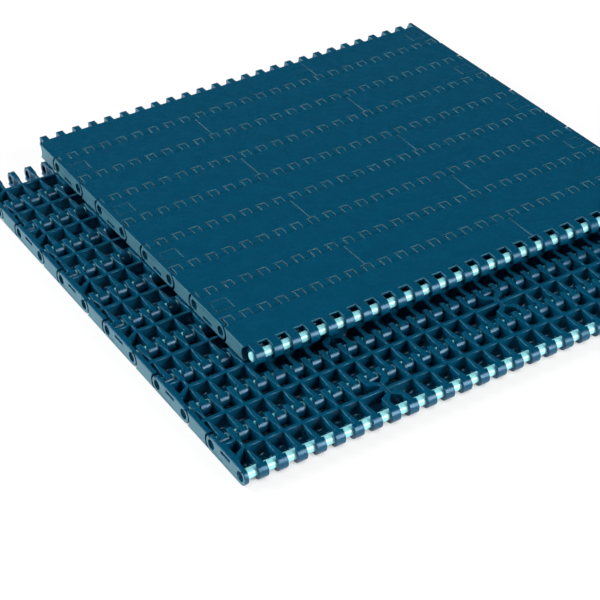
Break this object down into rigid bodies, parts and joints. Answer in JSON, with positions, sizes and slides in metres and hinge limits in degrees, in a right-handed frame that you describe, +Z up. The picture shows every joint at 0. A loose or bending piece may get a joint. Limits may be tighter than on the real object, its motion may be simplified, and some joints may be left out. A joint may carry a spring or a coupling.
{
  "type": "flat top conveyor chain",
  "caption": "Modular flat-top conveyor chain, one length flat face up on another lying ribs up: short and long plastic modules laid like bricks on plain hinge pins.",
  "frame": {"origin": "on the floor, under the middle of the box of both lengths", "axes": "X across the chain to the right, Y along its travel from the front row to the rear, Z up"},
  "size_m": [0.295, 0.2976, 0.0177],
  "materials": {
    "chain_plastic": "moulded acetal, dark teal",
    "pin_plastic": "extruded polymer rod, pale turquoise"
  },
  "bodies": {
    "lower_row_1": {"lower_row_1_left_module": "chain_plastic", "lower_row_1_right_module": "chain_plastic", "lower_pin_1": "pin_plastic"},
    "lower_row_2": {"lower_row_2_left_module": "chain_plastic", "lower_row_2_right_module": "chain_plastic", "lower_pin_2": "pin_plastic"},
    "lower_row_3": {"lower_row_3_left_module": "chain_plastic", "lower_row_3_right_module": "chain_plastic", "lower_pin_3": "pin_plastic"},
    "lower_row_4": {"lower_row_4_left_module": "chain_plastic", "lower_row_4_right_module": "chain_plastic", "lower_pin_4": "pin_plastic"},
    "lower_row_5": {"lower_row_5_left_module": "chain_plastic", "lower_row_5_right_module": "chain_plastic", "lower_pin_5": "pin_plastic"},
    "lower_row_6": {"lower_row_6_left_module": "chain_plastic", "lower_row_6_right_module": "chain_plastic", "lower_pin_6": "pin_plastic"},
    "lower_row_7": {"lower_row_7_left_module": "chain_plastic", "lower_row_7_right_module": "chain_plastic", "lower_pin_7": "pin_plastic"},
    "lower_row_8": {"lower_row_8_left_module": "chain_plastic", "lower_row_8_right_module": "chain_plastic", "lower_pin_8": "pin_plastic"},
    "lower_row_9": {"lower_row_9_left_module": "chain_plastic", "lower_row_9_right_module": "chain_plastic", "lower_pin_9": "pin_plastic"},
    "lower_row_10": {"lower_row_10_left_module": "chain_plastic", "lower_row_10_right_module": "chain_plastic", "lower_pin_10": "pin_plastic"},
    "lower_row_11": {"lower_row_11_left_module": "chain_plastic", "lower_row_11_right_module": "chain_plastic", "lower_pin_11": "pin_plastic"},
    "upper_row_1": {"upper_row_1_left_module": "chain_plastic", "upper_row_1_right_module": "chain_plastic", "upper_pin_1": "pin_plastic"},
    "upper_row_2": {"upper_row_2_left_module": "chain_plastic", "upper_row_2_right_module": "chain_plastic", "upper_pin_2": "pin_plastic"},
    "upper_row_3": {"upper_row_3_left_module": "chain_plastic", "upper_row_3_right_module": "chain_plastic", "upper_pin_3": "pin_plastic"},
    "upper_row_4": {"upper_row_4_left_module": "chain_plastic", "upper_row_4_right_module": "chain_plastic", "upper_pin_4": "pin_plastic"},
    "upper_row_5": {"upper_row_5_left_module": "chain_plastic", "upper_row_5_right_module": "chain_plastic", "upper_pin_5": "pin_plastic"},
    "upper_row_6": {"upper_row_6_left_module": "chain_plastic", "upper_row_6_right_module": "chain_plastic", "upper_pin_6": "pin_plastic"},
    "upper_row_7": {"upper_row_7_left_module": "chain_plastic", "upper_row_7_right_module": "chain_plastic", "upper_pin_7": "pin_plastic"},
    "upper_row_8": {"upper_row_8_left_module": "chain_plastic", "upper_row_8_right_module": "chain_plastic", "upper_pin_8": "pin_plastic"},
    "upper_row_9": {"upper_row_9_left_module": "chain_plastic", "upper_row_9_right_module": "chain_plastic", "upper_pin_9": "pin_plastic"}
  },
  "joints": [
    {"name": "lower_hinge_5_6", "type": "hinge", "parent": "lower_row_6", "child": "lower_row_5", "pos_m": [0, -0.01745, 0.00435], "axis": [-1, 0, 0], "range_deg": [-6, 0]},
    {"name": "lower_hinge_4_5", "type": "hinge", "parent": "lower_row_5", "child": "lower_row_4", "pos_m": [0, -0.04285, 0.00435], "axis": [-1, 0, 0], "range_deg": [-6, 0]},
    {"name": "lower_hinge_3_4", "type": "hinge", "parent": "lower_row_4", "child": "lower_row_3", "pos_m": [0, -0.06825, 0.00435], "axis": [-1, 0, 0], "range_deg": [-6, 0]},
    {"name": "lower_hinge_2_3", "type": "hinge", "parent": "lower_row_3", "child": "lower_row_2", "pos_m": [0, -0.09365, 0.00435], "axis": [-1, 0, 0], "range_deg": [-6, 60]},
    {"name": "lower_hinge_1_2", "type": "hinge", "parent": "lower_row_2", "child": "lower_row_1", "pos_m": [0, -0.11905, 0.00435], "axis": [-1, 0, 0], "range_deg": [-6, 60]},
    {"name": "lower_hinge_6_7", "type": "hinge", "parent": "lower_row_6", "child": "lower_row_7", "pos_m": [0, 0.00795, 0.00435], "axis": [1, 0, 0], "range_deg": [-6, 0]},
    {"name": "lower_hinge_7_8", "type": "hinge", "parent": "lower_row_7", "child": "lower_row_8", "pos_m": [0, 0.03335, 0.00435], "axis": [1, 0, 0], "range_deg": [-6, 0]},
    {"name": "lower_hinge_8_9", "type": "hinge", "parent": "lower_row_8", "child": "lower_row_9", "pos_m": [0, 0.05875, 0.00435], "axis": [1, 0, 0], "range_deg": [-6, 0]},
    {"name": "lower_hinge_9_10", "type": "hinge", "parent": "lower_row_9", "child": "lower_row_10", "pos_m": [0, 0.08415, 0.00435], "axis": [1, 0, 0], "range_deg": [-6, 0]},
    {"name": "lower_hinge_10_11", "type": "hinge", "parent": "lower_row_10", "child": "lower_row_11", "pos_m": [0, 0.10955, 0.00435], "axis": [1, 0, 0], "range_deg": [-6, 0]},
    {"name": "upper_length_lift", "type": "slide", "parent": "lower_row_6", "child": "upper_row_5", "axis": [0, 0, 1], "range_m": [0, 0.08]},
    {"name": "upper_hinge_4_5", "type": "hinge", "parent": "upper_row_5", "child": "upper_row_4", "pos_m": [0, 0.01745, 0.01335], "axis": [1, 0, 0], "range_deg": [-6, 0]},
    {"name": "upper_hinge_3_4", "type": "hinge", "parent": "upper_row_4", "child": "upper_row_3", "pos_m": [0, -0.00795, 0.01335], "axis": [1, 0, 0], "range_deg": [-6, 0]},
    {"name": "upper_hinge_2_3", "type": "hinge", "parent": "upper_row_3", "child": "upper_row_2", "pos_m": [0, -0.03335, 0.01335], "axis": [1, 0, 0], "range_deg": [-6, 0]},
    {"name": "upper_hinge_1_2", "type": "hinge", "parent": "upper_row_2", "child": "upper_row_1", "pos_m": [0, -0.05875, 0.01335], "axis": [1, 0, 0], "range_deg": [-6, 0]},
    {"name": "upper_hinge_5_6", "type": "hinge", "parent": "upper_row_5", "child": "upper_row_6", "pos_m": [0, 0.04285, 0.01335], "axis": [-1, 0, 0], "range_deg": [-6, 0]},
    {"name": "upper_hinge_6_7", "type": "hinge", "parent": "upper_row_6", "child": "upper_row_7", "pos_m": [0, 0.06825, 0.01335], "axis": [-1, 0, 0], "range_deg": [-6, 0]},
    {"name": "upper_hinge_7_8", "type": "hinge", "parent": "upper_row_7", "child": "upper_row_8", "pos_m": [0, 0.09365, 0.01335], "axis": [-1, 0, 0], "range_deg": [-6, 0]},
    {"name": "upper_hinge_8_9", "type": "hinge", "parent": "upper_row_8", "child": "upper_row_9", "pos_m": [0, 0.11905, 0.01335], "axis": [-1, 0, 0], "range_deg": [-6, 0]}
  ]
}
